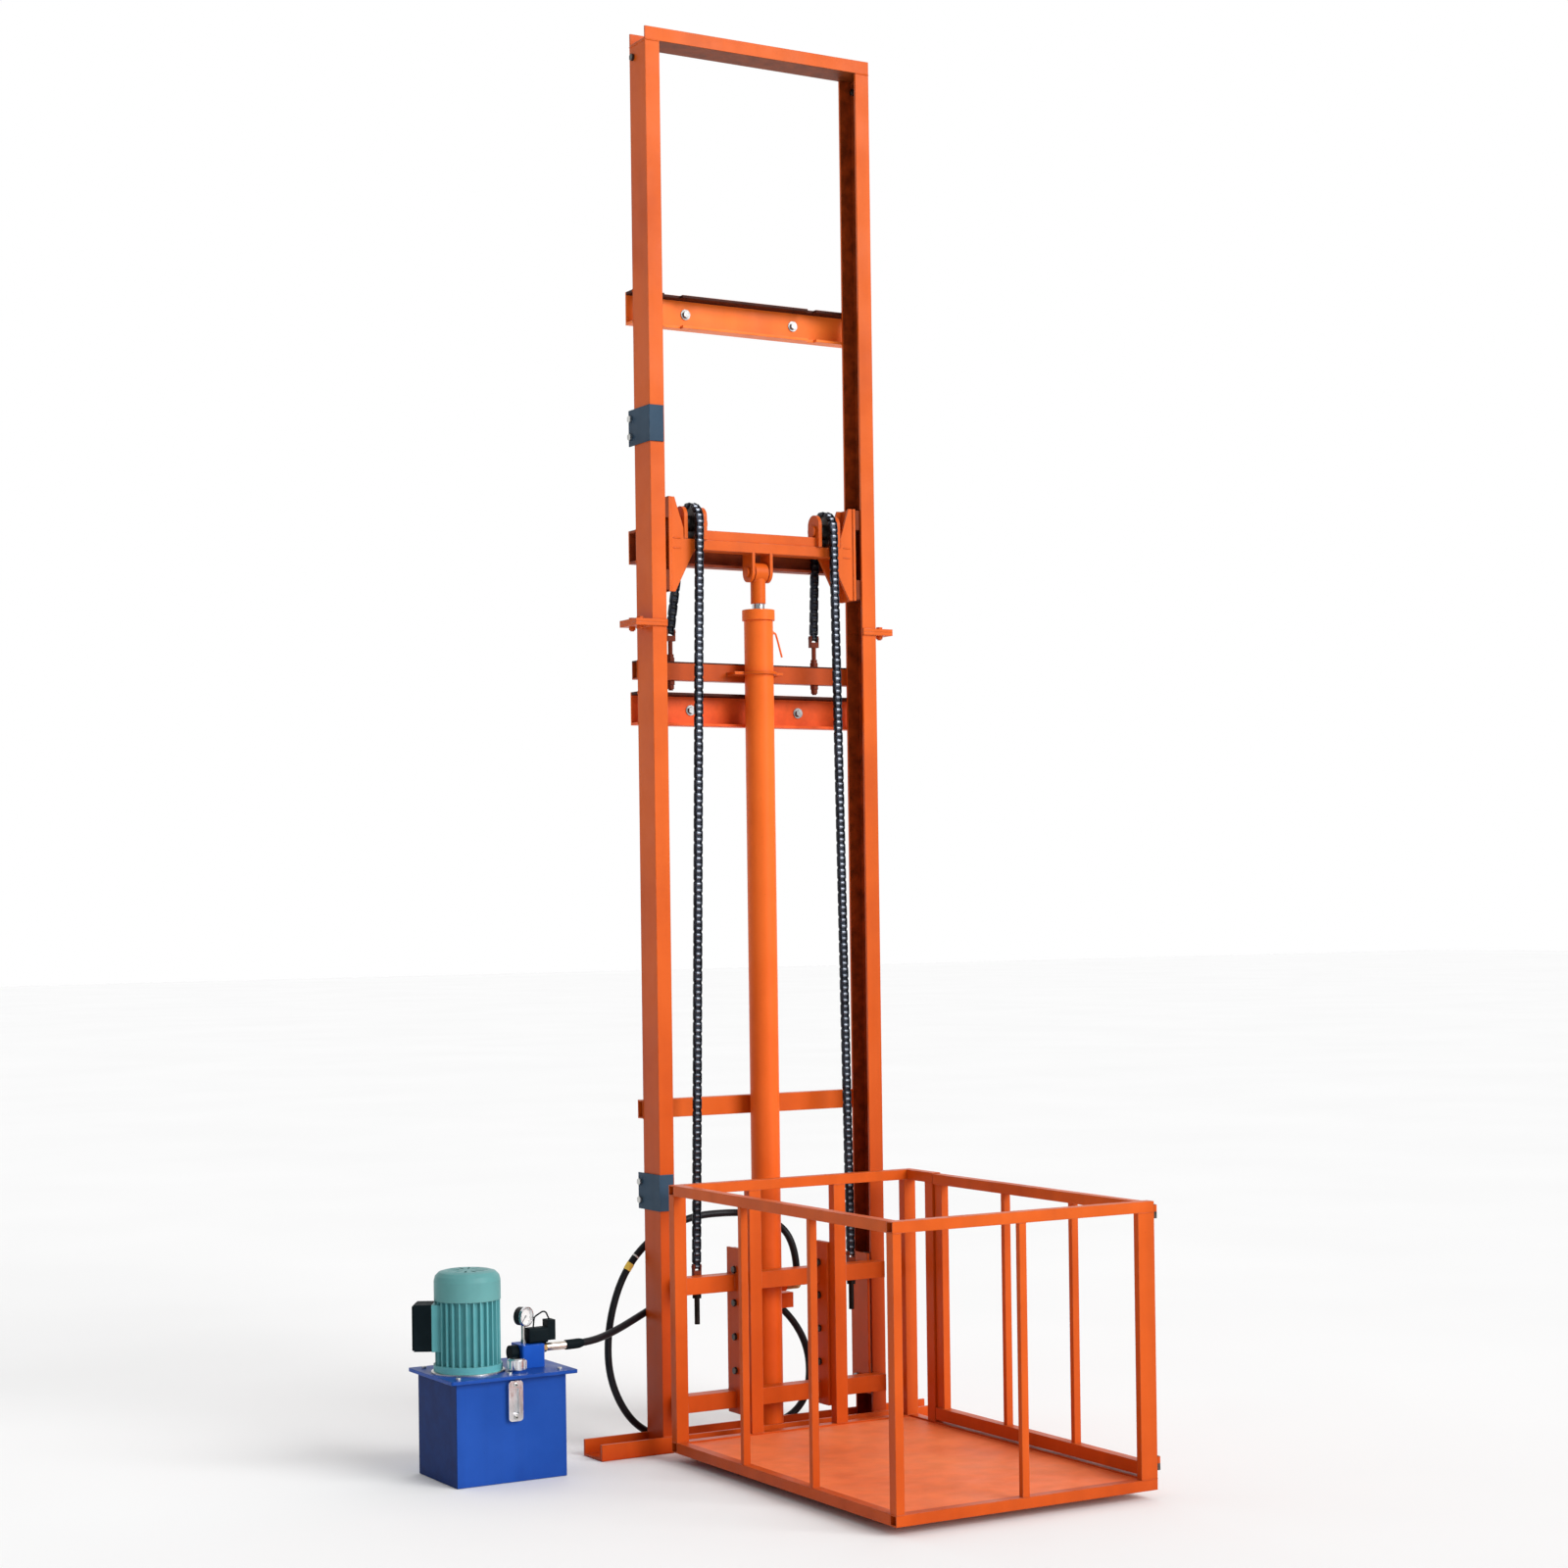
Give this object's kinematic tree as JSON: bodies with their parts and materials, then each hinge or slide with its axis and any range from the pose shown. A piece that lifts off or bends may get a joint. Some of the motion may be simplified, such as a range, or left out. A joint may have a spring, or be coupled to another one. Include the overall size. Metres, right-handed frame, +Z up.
{
  "type": "hydraulic freight lift",
  "caption": "Wall-fixed goods lift: channel mast with a hydraulic ram lifting chain sheaves, a tubular loading cage with a side gate, and a separate motor-pump unit on a hose.",
  "frame": {"origin": "on the floor, at the centre of the base beam's anchor holes", "axes": "+X across the mast to the right, +Y from the cage back to the wall, +Z up"},
  "size_m": [1.7702, 1.536, 4.24],
  "materials": {
    "orange_paint": "gloss orange-red enamel",
    "zinc_steel": "zinc-plated steel",
    "roller_steel": "turned steel",
    "slate_paint": "dark slate paint",
    "chain_steel": "oiled chain steel",
    "chrome": "hard chrome",
    "nylon": "nylon",
    "rubber_hose": "black braided rubber hose",
    "tank_paint": "gloss blue enamel",
    "motor_paint": "teal enamel on cast alloy",
    "valve_paint": "blue anodised block",
    "black_plastic": "black moulded plastic",
    "pump_alloy": "cast aluminium",
    "needle_paint": "black needle",
    "clear_glass": "clear glass"
  },
  "bodies": {
    "mast": {"base_beam": "orange_paint", "columns_lower": "orange_paint", "columns_upper": "orange_paint", "top_beam": "orange_paint", "mast_bolts": "zinc_steel", "wall_channels": "orange_paint", "wall_bolts": "zinc_steel", "anchor_section": "orange_paint", "tie_bar": "orange_paint", "rear_chain_anchors": "zinc_steel", "limit_brackets": "slate_paint", "cylinder_tube": "orange_paint", "cylinder_gland": "zinc_steel", "cylinder_clamp": "orange_paint", "hose_fittings": "zinc_steel", "hydraulic_hose": "rubber_hose", "rear_chains": "chain_steel", "tank": "tank_paint", "tank_cover": "tank_paint", "cover_screws": "zinc_steel", "motor_housing": "motor_paint", "fan_cowl": "motor_paint", "terminal_box": "black_plastic", "pump_body": "pump_alloy", "suction_strainer": "zinc_steel", "valve_block": "valve_paint", "solenoid_valve": "black_plastic", "pressure_gauge": "chrome", "sight_glasses": "clear_glass", "level_gauge": "chrome"},
    "crosshead": {"crosshead_frame": "orange_paint", "sheave_pins": "zinc_steel", "slide_shoes": "nylon", "ram": "chrome", "clevis_pin": "zinc_steel", "front_chains": "chain_steel", "chain_wraps": "chain_steel"},
    "left_sheave": {"left_sheave": "zinc_steel"},
    "right_sheave": {"right_sheave": "zinc_steel"},
    "carriage": {"carriage_rails": "orange_paint", "carriage_plates": "orange_paint", "roller_brackets": "orange_paint", "roller_axles": "zinc_steel", "carriage_bolts": "zinc_steel", "front_chain_anchors": "zinc_steel", "cage_floor": "orange_paint", "cage_cross_rails": "orange_paint", "cage_side_rails": "orange_paint", "cage_posts": "orange_paint", "cage_bars": "orange_paint", "gate_hinges": "slate_paint"},
    "gate": {"gate_frame": "orange_paint"},
    "roller_upper_left": {"roller_upper_left": "roller_steel"},
    "roller_upper_right": {"roller_upper_right": "roller_steel"},
    "roller_lower_left": {"roller_lower_left": "roller_steel"},
    "roller_lower_right": {"roller_lower_right": "roller_steel"},
    "motor_rotor": {"motor_rotor": "zinc_steel"},
    "pump_idle_gear": {"pump_idle_gear": "zinc_steel"},
    "gauge_needle": {"gauge_needle": "needle_paint"},
    "filler_cap": {"filler_cap": "chrome"}
  },
  "joints": [
    {"name": "ram_slide", "type": "slide", "parent": "mast", "child": "crosshead", "axis": [0, 0, 1], "range_m": [0, 1.15], "deforming": ["rear_chains"]},
    {"name": "carriage_slide", "type": "slide", "parent": "crosshead", "child": "carriage", "axis": [0, 0, 1], "range_m": [0, 1.15], "deforming": ["front_chains"]},
    {"name": "left_sheave_spin", "type": "hinge", "parent": "crosshead", "child": "left_sheave", "pos_m": [-0.235, -0.0065, 2.772], "axis": [1, 0, 0], "range_deg": [-1202, 0]},
    {"name": "right_sheave_spin", "type": "hinge", "parent": "crosshead", "child": "right_sheave", "pos_m": [0.235, -0.0065, 2.772], "axis": [1, 0, 0], "range_deg": [-1202, 0]},
    {"name": "upper_left_roller_spin", "type": "hinge", "parent": "carriage", "child": "roller_upper_left", "pos_m": [-0.365, 0, 0.495], "axis": [1, 0, 0], "range_deg": [0, 3215]},
    {"name": "upper_right_roller_spin", "type": "hinge", "parent": "carriage", "child": "roller_upper_right", "pos_m": [0.365, 0, 0.495], "axis": [1, 0, 0], "range_deg": [0, 3215]},
    {"name": "lower_left_roller_spin", "type": "hinge", "parent": "carriage", "child": "roller_lower_left", "pos_m": [-0.365, 0, 0.147], "axis": [1, 0, 0], "range_deg": [-3215, 0]},
    {"name": "lower_right_roller_spin", "type": "hinge", "parent": "carriage", "child": "roller_lower_right", "pos_m": [0.365, 0, 0.147], "axis": [1, 0, 0], "range_deg": [-3215, 0]},
    {"name": "gate_hinge", "type": "hinge", "parent": "carriage", "child": "gate", "pos_m": [0.429, -1.356, 0.43], "axis": [0, 0, -1], "range_deg": [0, 100]},
    {"name": "motor_spin", "type": "hinge", "parent": "mast", "child": "motor_rotor", "pos_m": [-1.015, -0.045, 0.4], "axis": [0, 0, 1], "continuous": true},
    {"name": "pump_idle_spin", "type": "hinge", "parent": "mast", "child": "pump_idle_gear", "pos_m": [-0.979, -0.045, 0.22], "axis": [0, 0, 1], "continuous": true},
    {"name": "needle_turn", "type": "hinge", "parent": "mast", "child": "gauge_needle", "pos_m": [-0.848, -0.06, 0.446], "axis": [-0.4226, 0.9063, 0], "range_deg": [0, 270], "stiffness_Nm_per_rad": 0.002},
    {"name": "filler_cap_turn", "type": "hinge", "parent": "mast", "child": "filler_cap", "pos_m": [-0.902, -0.13, 0.325], "axis": [0, 0, 1], "range_deg": [0, 90]}
  ],
  "couplings": [
    {"joint": "carriage_slide", "follows": "ram_slide", "ratio": 1},
    {"joint": "left_sheave_spin", "follows": "ram_slide", "rad_per_m": -18.231},
    {"joint": "right_sheave_spin", "follows": "ram_slide", "rad_per_m": -18.231},
    {"joint": "upper_left_roller_spin", "follows": "ram_slide", "rad_per_m": 48.781},
    {"joint": "upper_right_roller_spin", "follows": "ram_slide", "rad_per_m": 48.781},
    {"joint": "lower_left_roller_spin", "follows": "ram_slide", "rad_per_m": -48.781},
    {"joint": "lower_right_roller_spin", "follows": "ram_slide", "rad_per_m": -48.781},
    {"joint": "pump_idle_spin", "follows": "motor_spin", "ratio": -1}
  ]
}
